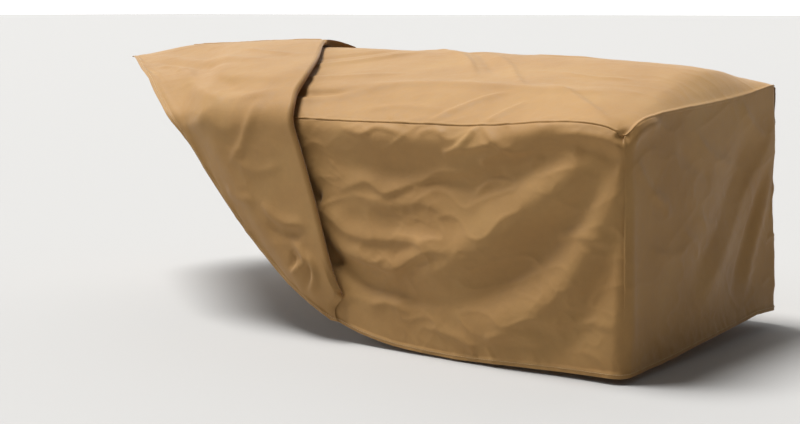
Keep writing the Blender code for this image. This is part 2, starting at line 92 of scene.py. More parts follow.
# ---- hems ----
FRONT_HEM = [("x", "run"), (1.29, 0.066), (1.345, 0.053), (1.43, 0.030), (1.57, 0.011), (1.735, 0.006),
             (1.89, 0.010), (2.09, 0.013), (END_X, 0.015)]
BACK_HEM = [("x", "run"), (1.08, 2.183), (1.20, 2.195), (1.40, 2.205), (1.80, 2.208), (2.00, 2.200),
            (END_X, 2.177)]
END_HEM = [("y", "z"), (-0.02, 0.015), (0.15, 0.013), (0.40, 0.019), (0.60, 0.022), (0.75, 0.028),
           (0.84, 0.040), (0.90, 0.053)]
# the vertical seam between the two skirts, near the back right corner: how far it lies from the corner
CORNER_SEAM = [("share_up", "from_corner"), (0.0, 0.150), (0.4, 0.060), (0.8, 0.015), (1.0, 0.0)]

# ---- the pleat: its inner fold, its outer fold, and how fully its layers stand up ----
TURN = [("run", "inner_x", "outer_x", "stand"),
        (0.054, 1.345, 1.318, 0.00), (0.092, 1.318, 1.333, 0.25), (0.127, 1.280, 1.365, 0.70),
        (0.160, 1.240, 1.347, 0.90), (0.230, 1.160, 1.317, 1.00), (0.372, 1.030, 1.264, 1.00),
        (0.561, 0.885, 1.188, 1.10), (0.609, 0.855, 1.166, 1.25), (0.675, 0.815, 1.128, 1.20),
        (0.749, 0.780, 1.100, 1.00), (0.885, 0.700, 1.024, 0.90), (1.207, 0.490, 0.820, 0.60),
        (1.365, 0.410, 0.730, 0.60), (1.530, 0.360, 0.680, 1.55), (1.640, 0.400, 0.710, 1.50),
        (1.810, 0.550, 0.850, 1.00), (2.055, 0.840, 1.050, 0.90), (2.132, 0.980, 1.105, 0.50),
        (2.188, 1.115, 1.090, 0.00)]

# where the outer fold lies, for a share of the way from the hem to the seam
FRONT_FOLD = [("share", "run"), (0.0, 0.054), (0.067, 0.127), (0.15, 0.230), (0.27, 0.372), (0.43, 0.561),
              (0.59, 0.749), (0.72, 0.885), (1.0, 1.207)]
BACK_FOLD = [("share", "run"), (0.0, 2.188), (0.05, 2.132), (0.13, 2.055), (0.40, 1.810), (0.70, 1.530),
             (1.0, 1.365)]

# ---- the flap's edges, from the outer fold to the far side ----
FLAP_HEM = [("share", "x", "run"), (0.0, 1.318, 0.054), (0.116, 1.157, 0.148), (0.227, 1.016, 0.255),
            (0.37, 0.854, 0.418), (0.47, 0.746, 0.538), (0.557, 0.632, 0.628), (0.65, 0.515, 0.714),
            (0.80, 0.329, 0.867), (1.0, 0.030, 1.190)]
FLAP_SEAM = [("share", "x", "run"), (0.0, 0.800, 1.207), (0.5, 0.520, 1.230), (1.0, 0.260, 1.236)]
LEFT_HEM = [("share", "x", "run"), (0.0, 0.030, 1.190), (0.2, -0.020, 1.260), (0.5, -0.030, 1.365),
            (0.8, 0.000, 1.485), (1.0, 0.050, 1.586)]
LEFT_SEAM = [("share", "x", "run"), (0.0, 0.260, 1.236), (0.5, 0.200, 1.296), (1.0, 0.240, 1.365)]
BACK_FLAP_HEM = [("share", "x", "run"), (0.0, 1.090, 2.188), (0.2, 0.850, 2.146), (0.5, 0.450, 2.020),
                 (0.8, 0.150, 1.775), (1.0, 0.050, 1.586)]
BACK_FLAP_SEAM = [("share", "x", "run"), (0.0, 0.820, 1.365), (0.5, 0.500, 1.365), (1.0, 0.240, 1.365)]

# ---- folds, each a ridge along a line, or a hollow where height is negative; millimetres and metres ----
# each row is height_mm, left_mm, right_mm and the line; left_mm and right_mm are its widths to the left
# and right of the line, going along it
FRONT_FOLDS = [      # lines of (x, run) on the fitted front
    (9, 26, 34, [(1.22, 0.575), (1.45, 0.560), (1.66, 0.553), (1.83, 0.556), (2.00, 0.578), (2.14, 0.592)]),
    (-9, 34, 40, [(1.24, 0.505), (1.44, 0.480), (1.66, 0.460), (1.80, 0.452), (1.98, 0.505), (2.13, 0.565)]),
    (15, 60, 44, [(1.56, 0.195), (1.66, 0.225), (1.78, 0.285), (1.95, 0.390), (2.08, 0.475), (2.18, 0.560)]),
    (-13, 44, 52, [(1.72, 0.150), (1.86, 0.215), (1.96, 0.285), (2.07, 0.385), (2.15, 0.490), (2.20, 0.570)]),
    (11, 46, 34, [(1.74, 0.095), (1.87, 0.110), (2.01, 0.175), (2.10, 0.290), (2.16, 0.410), (2.20, 0.540)]),
    (-9, 40, 40, [(1.96, 0.030), (2.06, 0.080), (2.13, 0.190), (2.17, 0.310), (2.20, 0.450)]),
    (12, 46, 13, [(1.26, 0.285), (1.37, 0.247), (1.47, 0.226), (1.54, 0.216), (1.60, 0.248), (1.66, 0.274),
                  (1.74, 0.278)]),
    (7, 30, 14, [(1.24, 0.370), (1.32, 0.332), (1.38, 0.300), (1.47, 0.292), (1.60, 0.298), (1.70, 0.284)]),
    (-9, 30, 20, [(1.28, 0.235), (1.38, 0.190), (1.45, 0.165), (1.54, 0.160), (1.62, 0.145), (1.75, 0.145)]),
    (5, 24, 8, [(1.33, 0.405), (1.43, 0.440), (1.50, 0.415), (1.60, 0.450), (1.74, 0.480), (1.80, 0.468)]),
    (4, 22, 12, [(1.42, 0.395), (1.52, 0.380), (1.62, 0.395), (1.72, 0.365)]),
    (4, 7, 12, [(1.78, 0.425), (1.83, 0.460), (1.90, 0.455)]),
    (5, 8, 13, [(1.68, 0.525), (1.73, 0.540), (1.79, 0.603)]),
    (5, 13, 7, [(1.79, 0.603), (1.85, 0.555), (1.90, 0.530), (1.96, 0.535)]),
    (4, 10, 7, [(1.73, 0.535), (1.78, 0.540), (1.86, 0.556)]),
    (4, 12, 8, [(1.80, 0.500), (1.83, 0.520), (1.88, 0.530)]),
    (3, 9, 12, [(1.86, 0.490), (1.92, 0.500), (1.99, 0.520)]),
    (4, 12, 7, [(1.36, 0.575), (1.42, 0.566), (1.46, 0.584), (1.51, 0.580), (1.57, 0.566)]),
    (3, 8, 10, [(1.60, 0.570), (1.64, 0.584), (1.70, 0.575)]),
    (4, 16, 9, [(1.64, 0.078), (1.72, 0.068), (1.78, 0.050), (1.81, 0.025)]),
    (4, 14, 10, [(1.83, 0.060), (1.90, 0.085), (2.00, 0.075)]),
    (3, 10, 10, [(1.45, 0.110), (1.52, 0.125), (1.60, 0.105)]),
    (4, 15, 10, [(2.02, 0.330), (2.10, 0.335), (2.18, 0.320)]),
    (3, 12, 10, [(2.00, 0.120), (2.10, 0.135), (2.19, 0.130)]),
    (-16, 22, 26, [(1.19, 0.440), (1.23, 0.395), (1.27, 0.370)]),
    (-18, 22, 26, [(1.25, 0.290), (1.30, 0.235), (1.34, 0.200)]),
]
TOP_FOLDS = [        # lines of (x, run) on the fitted part of the top
    (6, 34, 16, [(1.02, 0.735), (1.16, 0.740), (1.30, 0.745), (1.42, 0.790), (1.55, 0.808), (1.75, 0.800),
                 (1.95, 0.795), (2.09, 0.850)]),
    (5, 14, 18, [(1.02, 0.680), (1.13, 0.688), (1.24, 0.708), (1.33, 0.742)]),
    (4, 14, 14, [(1.00, 0.815), (1.12, 0.830), (1.24, 0.865), (1.36, 0.905)]),
    (-5, 16, 16, [(1.02, 0.708), (1.14, 0.712), (1.25, 0.724), (1.36, 0.765)]),
    (5, 18, 14, [(0.94, 0.940), (1.03, 0.985), (1.12, 1.060), (1.22, 1.170)]),
    (-4, 18, 18, [(0.92, 1.030), (1.02, 1.100), (1.12, 1.190)]),
    (5, 10, 20, [(1.22, 1.260), (1.34, 1.180), (1.45, 1.080), (1.58, 0.915)]),
    (-4, 18, 14, [(1.28, 1.280), (1.42, 1.180), (1.52, 1.070), (1.64, 0.930)]),
    (3, 9, 14, [(1.46, 1.200), (1.60, 1.060), (1.72, 0.910), (1.80, 0.815)]),
    (5, 12, 16, [(1.86, 0.840), (1.96, 0.775), (2.05, 0.705), (2.15, 0.630)]),
    (4, 9, 14, [(1.62, 0.605), (1.67, 0.665), (1.72, 0.720), (1.80, 0.775)]),
    (3, 8, 12, [(1.80, 0.612), (1.83, 0.665), (1.87, 0.715)]),
    (3, 10, 14, [(1.38, 0.660), (1.52, 0.675), (1.66, 0.662)]),
    (3, 10, 10, [(1.80, 1.000), (1.92, 0.960), (2.04, 0.985)]),
    (4, 40, 26, [(2.110, 1.460), (2.130, 1.300), (2.140, 1.120), (2.150, 0.930), (2.175, 0.740)]),
    (3, 12, 8, [(1.10, 1.290), (1.24, 1.240), (1.36, 1.235), (1.50, 1.250)]),
    (3, 8, 10, [(1.56, 1.260), (1.66, 1.225), (1.80, 1.235)]),
]
FLAP_FOLDS = [       # lines of (x, run) on the turned-back flap
    (7, 16, 30, [(0.50, 0.900), (0.60, 0.800), (0.72, 0.705), (0.84, 0.640), (0.95, 0.595)]),
    (-6, 26, 20, [(0.58, 0.905), (0.70, 0.790), (0.82, 0.715), (0.96, 0.660)]),
    (5, 24, 14, [(0.80, 0.655), (0.92, 0.632), (1.02, 0.645), (1.11, 0.665)]),
    (5, 14, 22, [(0.72, 0.570), (0.82, 0.577), (0.87, 0.590), (0.93, 0.566), (1.02, 0.575)]),
    (5, 18, 12, [(1.06, 0.625), (1.03, 0.570), (1.00, 0.515), (0.96, 0.470)]),
    (4, 12, 16, [(0.93, 0.395), (0.99, 0.370), (1.06, 0.370)]),
    (6, 18, 10, [(1.08, 0.365), (1.13, 0.325), (1.18, 0.308), (1.26, 0.312)]),
    (-4, 16, 14, [(1.10, 0.300), (1.17, 0.280), (1.24, 0.285)]),
    (7, 10, 9, [(1.20, 0.262), (1.235, 0.240), (1.25, 0.212), (1.22, 0.188), (1.185, 0.172)]),
    (7, 9, 12, [(1.255, 0.240), (1.28, 0.205), (1.285, 0.165), (1.265, 0.122)]),
    (-6, 8, 8, [(1.205, 0.232), (1.21, 0.205), (1.19, 0.190)]),
    (-5, 10, 8, [(1.268, 0.205), (1.262, 0.165), (1.245, 0.140)]),
    (5, 30, 30, [(0.18, 1.110), (0.34, 1.020), (0.52, 0.960), (0.72, 0.900), (0.92, 0.880)]),
    (-4, 24, 20, [(0.30, 0.985), (0.44, 0.930), (0.60, 0.885), (0.80, 0.840)]),
    (5, 16, 12, [(0.36, 0.900), (0.44, 0.893), (0.50, 0.862), (0.53, 0.822)]),
    (4, 20, 16, [(0.74, 0.760), (0.86, 0.740), (0.98, 0.735), (1.08, 0.720)]),
    (3, 12, 12, [(0.98, 0.480), (1.06, 0.450), (1.16, 0.470)]),
    (4, 14, 12, [(0.60, 1.060), (0.70, 1.020), (0.80, 0.985), (0.92, 0.965)]),
]
END_FOLDS = [        # lines of (y, z) on the right end, with y running from the front corner to the back
    (11, 30, 46, [(0.33, 0.120), (0.42, 0.185), (0.57, 0.300), (0.70, 0.430), (0.80, 0.520), (0.845, 0.600)]),
    (-9, 44, 30, [(0.30, 0.200), (0.40, 0.270), (0.52, 0.370), (0.62, 0.480), (0.70, 0.570)]),
    (8, 26, 22, [(0.66, 0.110), (0.72, 0.230), (0.785, 0.350), (0.83, 0.480)]),
    (-7, 20, 24, [(0.58, 0.120), (0.66, 0.240), (0.735, 0.350), (0.79, 0.450)]),
    (4, 12, 16, [(0.03, 0.550), (0.07, 0.500), (0.13, 0.445), (0.18, 0.420)]),
    (3, 14, 10, [(0.10, 0.455), (0.17, 0.425), (0.19, 0.380)]),
    (4, 14, 18, [(0.34, 0.590), (0.42, 0.535), (0.52, 0.500), (0.64, 0.480)]),
    (-4, 20, 20, [(0.24, 0.560), (0.33, 0.510), (0.44, 0.460)]),
    (4, 12, 16, [(0.33, 0.385), (0.42, 0.342), (0.50, 0.345)]),
    (3, 10, 12, [(0.27, 0.345), (0.34, 0.300), (0.37, 0.260)]),
    (3, 12, 12, [(0.12, 0.095), (0.19, 0.060), (0.26, 0.040)]),
    (3, 10, 14, [(0.10, 0.320), (0.20, 0.290), (0.30, 0.300)]),
    (5, 12, 20, [(0.62, 0.655), (0.70, 0.590), (0.79, 0.545)]),
    (5, 24, 20, [(0.02, 0.060), (0.01, 0.250), (0.02, 0.450)]),
]
BACK_FOLDS = [       # lines of (x, run) on the back
    (10, 60, 60, [(1.10, 2.080), (1.40, 1.980), (1.70, 1.860), (1.95, 1.720), (2.10, 1.600)]),
    (-9, 60, 60, [(1.20, 1.900), (1.50, 1.820), (1.80, 1.720), (2.00, 1.610)]),
    (8, 50, 60, [(0.95, 1.700), (1.20, 1.690), (1.50, 1.640), (1.80, 1.580)]),
    (-8, 60, 50, [(1.50, 2.100), (1.80, 2.000), (2.02, 1.850), (2.14, 1.680)]),
    (5, 12, 16, [(1.30, 1.600), (1.38, 1.660), (1.48, 1.650)]),
    (5, 14, 12, [(1.78, 1.620), (1.84, 1.700), (1.96, 1.740)]),
]
CORNER_FOLDS = [     # lines of (distance round the front right corner, z): negative on the front
    (9, 12, 17, [(-0.200, 0.597), (-0.110, 0.600), (-0.045, 0.590), (-0.004, 0.570)]),
    (9, 12, 17, [(0.004, 0.570), (0.050, 0.606), (0.100, 0.622), (0.170, 0.628)]),
    (-10, 16, 16, [(-0.030, 0.612), (-0.006, 0.596), (0.024, 0.612)]),
    (-6, 22, 22, [(-0.140, 0.560), (-0.070, 0.555), (-0.010, 0.530)]),
]


def smooth_path(points, per_leg=7):
    """A curve through a few points, as a fine polyline."""
    p = np.array([points[0]] + list(points) + [points[-1]], float)
    t = np.linspace(0, 1, per_leg, endpoint=False)[:, None]
    legs = []
    for a, b, c, d in zip(p, p[1:], p[2:], p[3:]):
        legs.append(0.5 * (2 * b + (c - a) * t + (2 * a - 5 * b + 4 * c - d) * t ** 2
                           + (3 * b - a - 3 * c + d) * t ** 3))
    return np.concatenate(legs + [p[-1:]])


def fold_heights(u, v, folds):
    """Height of ridges and hollows that follow lines over the cloth."""
    total = np.zeros(u.shape)
    for height, left, right, line in folds:
        path = smooth_path(line)
        margin = 3.0 * max(left, right) / 1000
        low, high = path.min(0) - margin, path.max(0) + margin
        near = (u > low[0]) & (u < high[0]) & (v > low[1]) & (v < high[1])
        if not near.any():
            continue
        place = np.stack([u[near], v[near]], -1)
        nearest, share, side = np.full(len(place), 9.0), np.zeros(len(place)), np.zeros(len(place))
        for k, (a, b) in enumerate(zip(path, path[1:])):
            along = b - a
            t = np.clip(((place - a) @ along) / (along @ along), 0, 1)
            away = place - a - t[:, None] * along
            distance = np.linalg.norm(away, axis=-1)
            closer = distance < nearest
            nearest = np.where(closer, distance, nearest)
            share = np.where(closer, (k + t) / (len(path) - 1), share)
            side = np.where(closer, np.sign(along[0] * away[:, 1] - along[1] * away[:, 0]), side)
        width = np.where(side > 0, left, right) / 1000
        ends = ease(share / 0.25) * ease((1 - share) / 0.25)
        crest = np.sqrt((nearest / width) ** 2 + 0.02) - math.sqrt(0.02)
        total[near] += height / 1000 * (0.15 + 0.85 * ends) * np.exp(-crest ** 1.7)
    return total


NOISE = np.random.default_rng(11).random((64, 64))


def noise(u, v, size, turn=0.0, shift=0):
    """Smooth noise from 0 to 1 with features of one size, in metres."""
    a = (u * math.cos(turn) + v * math.sin(turn)) / size + 7.3 * shift + 40
    b = (v * math.cos(turn) - u * math.sin(turn)) / size + 3.1 * shift + 40
    i, j = np.floor(a).astype(int), np.floor(b).astype(int)
    s, t = a - i, b - j
    s, t = s * s * s * (s * (s * 6 - 15) + 10), t * t * t * (t * (t * 6 - 15) + 10)
    n = NOISE[np.ix_(range(64), range(64))]
    i, j, k, m = i % 64, j % 64, (i + 1) % 64, (j + 1) % 64
    return (n[i, j] * (1 - s) + n[k, j] * s) * (1 - t) + (n[i, m] * (1 - s) + n[k, m] * s) * t


def crumple(u, v, shift=0):
    """The sharp small facets that coated cloth keeps from being packed, in metres."""
    bend_u = u + 0.05 * (noise(u, v, 0.13, 0.4, shift + 1) - 0.5)
    bend_v = v + 0.05 * (noise(u, v, 0.13, 1.1, shift + 2) - 0.5)
    broad = noise(bend_u, bend_v, 0.21, 0.5, shift + 3) - 0.5
    ridges = 1 - np.abs(2 * noise(bend_u, 1.7 * bend_v, 0.095, 0.5, shift + 4) - 1)
    small = 1 - np.abs(2 * noise(bend_u, 1.4 * bend_v, 0.040, -0.5, shift + 5) - 1)
    patchy = ease((noise(u, v, 0.16, 0.2, shift + 6) - 0.35) / 0.4)
    return 0.0080 * broad + 0.0028 * (ridges ** 3 - 0.2) + 0.0014 * patchy * (small ** 3 - 0.2)


def column(table, value, name):
    """A smooth monotone curve through one column of a table, read at value of its first column."""
    rows = np.array(table[1:], float)
    at, heights = rows[:, 0], rows[:, table[0].index(name)]
    step = np.diff(at)
    slope = np.diff(heights) / step
    tangent = np.zeros_like(heights)
    for i in range(1, len(at) - 1):
        if slope[i - 1] * slope[i] > 0:
            left, right = 2 * step[i] + step[i - 1], step[i] + 2 * step[i - 1]
            tangent[i] = (left + right) / (left / slope[i - 1] + right / slope[i])
    tangent[0], tangent[-1] = slope[0], slope[-1]
    value = np.asarray(value, float)
    k = np.clip(np.searchsorted(at, value) - 1, 0, len(at) - 2)
    t = np.clip((value - at[k]) / step[k], 0.0, 1.0)
    return ((1 + 2 * t) * (1 - t) ** 2 * heights[k] + t * (1 - t) ** 2 * step[k] * tangent[k]
            + t * t * (3 - 2 * t) * heights[k + 1] + t * t * (t - 1) * step[k] * tangent[k + 1])


def ease(t):
    """0 below 0, 1 above 1, and smooth between."""
    t = np.clip(t, 0.0, 1.0)
    return t * t * (3 - 2 * t)


def blend(a, b, t):
    return a + (b - a) * t


def form_table(stations=560, steps=60):
    """Rounded cross-sections of the draped form, as (station, step, y and z)."""
    table = [SECTION_NAMES] + SECTIONS
    xs = np.linspace(SECTIONS[0][0], SECTIONS[-1][0], stations)
    read = {name: column(table, xs, name) for name in SECTION_NAMES[1:]}
    floor = np.zeros(stations)
    ys = np.stack([read[n] for n in ("foot_y", "lip_y", "brow_y", "crest_y", "rear_y", "heel_y")], 1)
    zs = np.stack([floor, read["lip_z"], read["brow_z"], read["crest_z"], read["rear_z"], floor], 1)
    marks = np.linspace(FOOT, HEEL, HEEL * steps + 1)
    radius = np.interp(marks, range(6), LANDMARK_ROUNDING)
    offsets = np.linspace(-2.2, 2.2, 13)
    weights = np.exp(-0.5 * offsets ** 2)
    weights /= weights.sum()
    form = np.zeros((stations, len(marks), 2))
    for k in range(stations):
        arc = np.concatenate([[0.0], np.cumsum(np.hypot(np.diff(ys[k]), np.diff(zs[k])))])
        along = np.interp(marks, range(6), arc)
        reach = np.concatenate([[-1.0], arc, [arc[-1] + 1.0]])
        for axis, line in enumerate((ys[k], zs[k])):
            start = line[0] - (line[1] - line[0]) / (arc[1] - arc[0])
            end = line[-1] + (line[-1] - line[-2]) / (arc[-1] - arc[-2])
            line = np.concatenate([[start], line, [end]])
            for offset, weight in zip(offsets, weights):
                form[k, :, axis] += weight * np.interp(along + offset * radius, reach, line)
    return form


FORM = form_table()
FORM_X0, FORM_STEP = SECTIONS[0][0], (END_X - SECTIONS[0][0]) / (len(FORM) - 1)


def draped(x, run):
    """Points of the draped form at x and run."""
    x, run = np.broadcast_arrays(np.asarray(x, float), np.asarray(run, float))
    steps = (FORM.shape[1] - 1) / HEEL
    a = np.clip((x - FORM_X0) / FORM_STEP, 0, FORM.shape[0] - 1.001)
    b = np.clip(np.interp(run, LANDMARK_RUN, range(6)) * steps, 0, FORM.shape[1] - 1.001)
    i, j = a.astype(int), b.astype(int)
    s, t = (a - i)[..., None], (b - j)[..., None]
    yz = blend(blend(FORM[i, j], FORM[i, j + 1], t), blend(FORM[i + 1, j], FORM[i + 1, j + 1], t), s)
    return np.concatenate([x[..., None], yz], -1)


def outward(x, run, step=0.006):
    """Unit vectors that point out of the draped form."""
    x = np.minimum(x, END_X - step)
    run = np.clip(run, step, LANDMARK_RUN[HEEL] - step)
    across = draped(x + step, run) - draped(x - step, run)
    over = draped(x, run + step) - draped(x, run - step)
    normal = np.cross(across, over)
    return normal / np.linalg.norm(normal, axis=-1, keepdims=True)



def side_tables(side):
    if side == "front":
        return FRONT_HEM, FRONT_SEAM_RUN, FRONT_FOLD, FLAP_HEM, FLAP_SEAM, TURN[1]
    return BACK_HEM, BACK_SEAM_RUN, BACK_FOLD, BACK_FLAP_HEM, BACK_FLAP_SEAM, TURN[-1]


def fitted_line(share, v, side):
    """A line up the fitted skirt: share 0 at the right end and 1 at the pleat's inner fold."""
    hem, seam_run, _, _, _, first_turn = side_tables(side)
    run = blend(column(hem, blend(END_X, first_turn[1], share), "run"), seam_run, v)
    x = blend(END_X, column(TURN, run, "inner_x"), share)
    if side == "back":
        x = x + column(CORNER_SEAM, v, "from_corner") * np.clip(1 - share / 0.11, 0, 1) ** 1.5
    return x, run, np.zeros_like(v)


def flap_line(share, v, side):
    """A line over the flap from its hem to its seam: share 0 at the outer fold, 1 at the far side."""
    _, _, fold, hem, seam, _ = side_tables(side)
    x = blend(column(hem, share, "x"), column(seam, share, "x"), v)
    run = blend(column(hem, share, "run"), column(seam, share, "run"), v)
    fold_run = column(fold, v, "run")
    straight_x, straight_run = blend(hem[1][1], seam[1][1], v), blend(hem[1][2], seam[1][2], v)
    near = (1 - share) ** 1.5
    x = x + near * (column(TURN, fold_run, "outer_x") - straight_x)
    run = run + near * (fold_run - straight_run)
    return x, run, flap_height(x, run)


def left_end_line(share, v):
    """A line up the left end's part of the skirt, which lies over the top behind the flap."""
    x = blend(column(LEFT_HEM, share, "x"), column(LEFT_SEAM, share, "x"), v)
    run = blend(column(LEFT_HEM, share, "run"), column(LEFT_SEAM, share, "run"), v)
    return x, run, flap_height(x, run)


def flap_height(x, run):
    """Height of the upper layer over the form: on the pleat, past it, and along its raised roll."""
    over_pleat = ease((x - column(TURN, run, "inner_x") + 0.14) / 0.14)
    rest = FLAP_REST * ease((1.32 - x) / 0.10)
    roll = ease((x - 0.02) / 0.25) * (1 - over_pleat) * np.exp(-((run - 1.25) / 0.10) ** 2)
    return rest + (UPPER_LAYER - rest) * column(TURN, run, "stand") * over_pleat + ROLL_HEIGHT * roll


def pleat_line(part, along, inner_run, outer_run):
    """A line of the pleat between fitted cloth and flap. part is inner, middle or outer; along is 0 to 1."""
    inner, outer = column(TURN, inner_run, "inner_x"), column(TURN, outer_run, "outer_x")
    inner_stand, outer_stand = column(TURN, inner_run, "stand"), column(TURN, outer_run, "stand")
    first, low, high = MIDDLE_LAYER * inner_stand, MIDDLE_LAYER * outer_stand, UPPER_LAYER * outer_stand
    angle = math.pi * (along - 0.5)
    if part == "inner":
        x, run = inner - 0.6 * first * math.cos(angle), inner_run
        height, share = first / 2 * (1 + math.sin(angle)), 0.15 * along
    elif part == "middle":
        x, run = blend(inner, outer, along), blend(inner_run, outer_run, along)
        height, share = blend(first, low, along), 0.15 + 0.7 * along
    else:
        x, run = outer + (high - low) / 2 * math.cos(angle), outer_run
        height, share = low + (high - low) / 2 * (1 + math.sin(angle)), 0.85 + 0.15 * along
    folded = ease(np.minimum(inner_stand, outer_stand) / 0.8)
    flat_x, flat_run = blend(inner, outer, share), blend(inner_run, outer_run, share)
    return blend(flat_x, x, folded), blend(flat_run, run, folded), height * folded


def cloth_lines():
    """Every line of cloth from the right end to the flap's far side: (part, share)."""
    beside_end = np.array([0.0, 0.0012, 0.0026, 0.0045, 0.0068, 0.0095])
    near = np.concatenate([beside_end, np.linspace(0.0130, 0.80, FITTED_LINES)])
    hidden = np.linspace(0.80, 1, 12)[1:]
    lines = [("fitted", share) for share in np.concatenate([near, hidden])]
    lines += [("inner", share) for share in np.linspace(0, 1, TURN_LINES)[1:]]
    lines += [("middle", share) for share in np.linspace(0, 1, MIDDLE_LINES)[1:]]
    lines += [("outer", share) for share in np.linspace(0, 1, TURN_LINES)[1:]]
    lines += [("flap", share) for share in np.linspace(0, 1, FLAP_LINES)[1:]]
    return lines


def skirt_line(line, v, side):
    part, share = line
    if part == "fitted":
        return fitted_line(share, v, side)
    if part == "flap":
        return flap_line(share, v, side)
    inner_run = fitted_line(1.0, v, side)[1]
    return pleat_line(part, share, inner_run, column(side_tables(side)[2], v, "run"))


def top_line(line, across):
    """A line over the top panel, from its front seam to its back seam."""
    part, share = line
    runs = blend(FRONT_SEAM_RUN, BACK_SEAM_RUN, across)
    if part == "fitted":
        return blend(END_X, column(TURN, runs, "inner_x"), share), runs, np.zeros_like(runs)
    if part == "flap":
        x = blend(column(FLAP_SEAM, share, "x"), column(BACK_FLAP_SEAM, share, "x"), across)
        run = blend(column(FLAP_SEAM, share, "run"), column(BACK_FLAP_SEAM, share, "run"), across)
        straight = blend(LEFT_SEAM[1][1], LEFT_SEAM[-1][1], across)
        x = x + share ** 4 * (column(LEFT_SEAM, across, "x") - straight)
        return x, run, flap_height(x, run)
    return pleat_line(part, share, runs, blend(FLAP_SEAM[1][2], BACK_FLAP_SEAM[1][2], across))


def over_form(x, run, height):
    """Points of the cloth from x, run and height, in the sofa's frame."""
    on_form = np.minimum(x, END_X)
    points = draped(on_form, run) + outward(on_form, run) * np.asarray(height)[..., None]
    points[..., 1] -= x - on_form
    points[..., 0] += end_relief(points[..., 1], points[..., 2]) * ease((x - on_form) / 0.06)
    return points


def end_relief(y, z):
    """How far the right end's wall bulges out or hangs in."""
    waist = np.sin(math.pi * np.clip(z / 0.64, 0, 1))
    return waist * (0.010 * np.exp(-((y - 0.30) / 0.18) ** 2) - 0.014 * np.exp(-((y - 0.66) / 0.15) ** 2))


def shape_right_end(points):
    """Flares the right end's wall, rounds its two corners in plan and pulls in the tuck at the front."""
    x, y, z = points[..., 0], points[..., 1], points[..., 2]
    edge_x = np.full_like(x, END_X)
    front = draped(edge_x, np.clip(z, 0, 0.6))[..., 1]
    back = draped(edge_x, LANDMARK_RUN[HEEL] - np.clip(z, 0, 0.7))[..., 1]
    flare = END_FLARE * np.clip(1 - z / 0.63, 0, 1)
    x = x + flare * ease((x - END_X + 0.2) / 0.2)
    end = END_X + flare
    for sign, edge in ((-1, front), (1, back)):
        a = (x - end + CORNER_RADIUS) / CORNER_RADIUS
        b = (sign * (y - edge) + CORNER_RADIUS) / CORNER_RADIUS
        most = np.maximum(np.maximum(a, b), 1.0)
        a, b = a / most, b / most
        near = (a > 0) & (b > 0)
        round_x = most * a * np.sqrt(np.clip(1 - b * b / 2, 0.5, 1))
        round_y = most * b * np.sqrt(np.clip(1 - a * a / 2, 0.5, 1))
        x = np.where(near, end + CORNER_RADIUS * (round_x - 1), x)
        y = np.where(near, edge + sign * CORNER_RADIUS * (round_y - 1), y)
    from_corner = np.hypot(points[..., 0] - END_X, points[..., 1] + 0.012)
    drop = TUCK_DROP * np.exp(-(from_corner / TUCK_REACH) ** 2) * ease((z - 0.45) / 0.18)
    return np.stack([x, y, z - drop], -1)


def row_shares(length, rows, hem=True):
    """Where the rows of a line lie, as shares of its length: close together at the hem and the seam."""
    first = np.array([0.0, 0.0015, 0.0050, 0.0095, HEM_WIDTH - 0.0008, HEM_WIDTH + 0.0008, 0.0200])
    last = np.array([0.0140, 0.0095, 0.0060, 0.0035, 0.0016, 0.0])
    if not hem:
        first = np.flip(last)
    first, last = first / length, 1 - last / length
    middle = np.linspace(first[-1], last[0], rows - len(first) - len(last) + 2)[1:-1]
    return np.concatenate([first, middle, last])


def laid_line(place, rows, hem=True):
    """One line's chart (x, run, height) and points; place gives them for shares of the way along it."""
    rough = over_form(*place(np.linspace(0, 1, 30)))
    length = np.linalg.norm(np.diff(rough, axis=0), axis=1).sum()
    shares = row_shares(length, rows, hem)
    x, run, height = place(shares)
    from_hem, from_seam = shares * length, (1 - shares) * length
    return np.stack([x, run, height, from_hem, from_seam], -1), over_form(x, run, height)


def right_end(top_edge, rows):
    """The right end's wall under the edge of the top panel, one line for each of the edge's points."""
    laid = []
    span = top_edge[-1, 1] - top_edge[0, 1]
    for seam_point in top_edge:
        share = (seam_point[1] - top_edge[0, 1]) / span
        v = row_shares(END_HEIGHT, rows)
        front, back = over_form(*fitted_line(0.0, v, "front")), over_form(*fitted_line(0.0, v, "back"))
        y = blend(front[:, 1], back[:, 1], share)
        ends = column(END_HEM, front[0, 1], "z"), column(END_HEM, back[0, 1], "z")
        hem_z = blend(front[0, 2], back[0, 2], share) + column(END_HEM, y[0], "z") - blend(*ends, share)
        z = blend(hem_z, seam_point[2], v)
        if share == 0:
            y, z = front[:, 1], front[:, 2]
        elif share == 1:
            y, z = back[:, 1], back[:, 2]
        x = seam_point[0] + end_relief(y, z)
        points = np.stack([x, y, z], -1)
        from_hem, from_seam = v * END_HEIGHT, (1 - v) * END_HEIGHT
        chart = np.stack([np.full_like(y, END_X), z, np.zeros_like(y), from_hem, from_seam], -1)
        laid.append((chart, points))
    charts, points = zip(*laid)
    return np.array(charts), np.array(points)


def grid_normals(grid, side=1):
    """Unit normals of a grid, pointing to the outer face of the cloth."""
    a, b, c, d = grid[:-1, :-1], grid[:-1, 1:], grid[1:, 1:], grid[1:, :-1]
    of_face = np.cross(c - a, d - b) * side
    normal = np.zeros_like(grid)
    for i in (slice(None, -1), slice(1, None)):
        for j in (slice(None, -1), slice(1, None)):
            normal[i, j] += of_face
    return normal / np.maximum(np.linalg.norm(normal, axis=-1, keepdims=True), 1e-12)


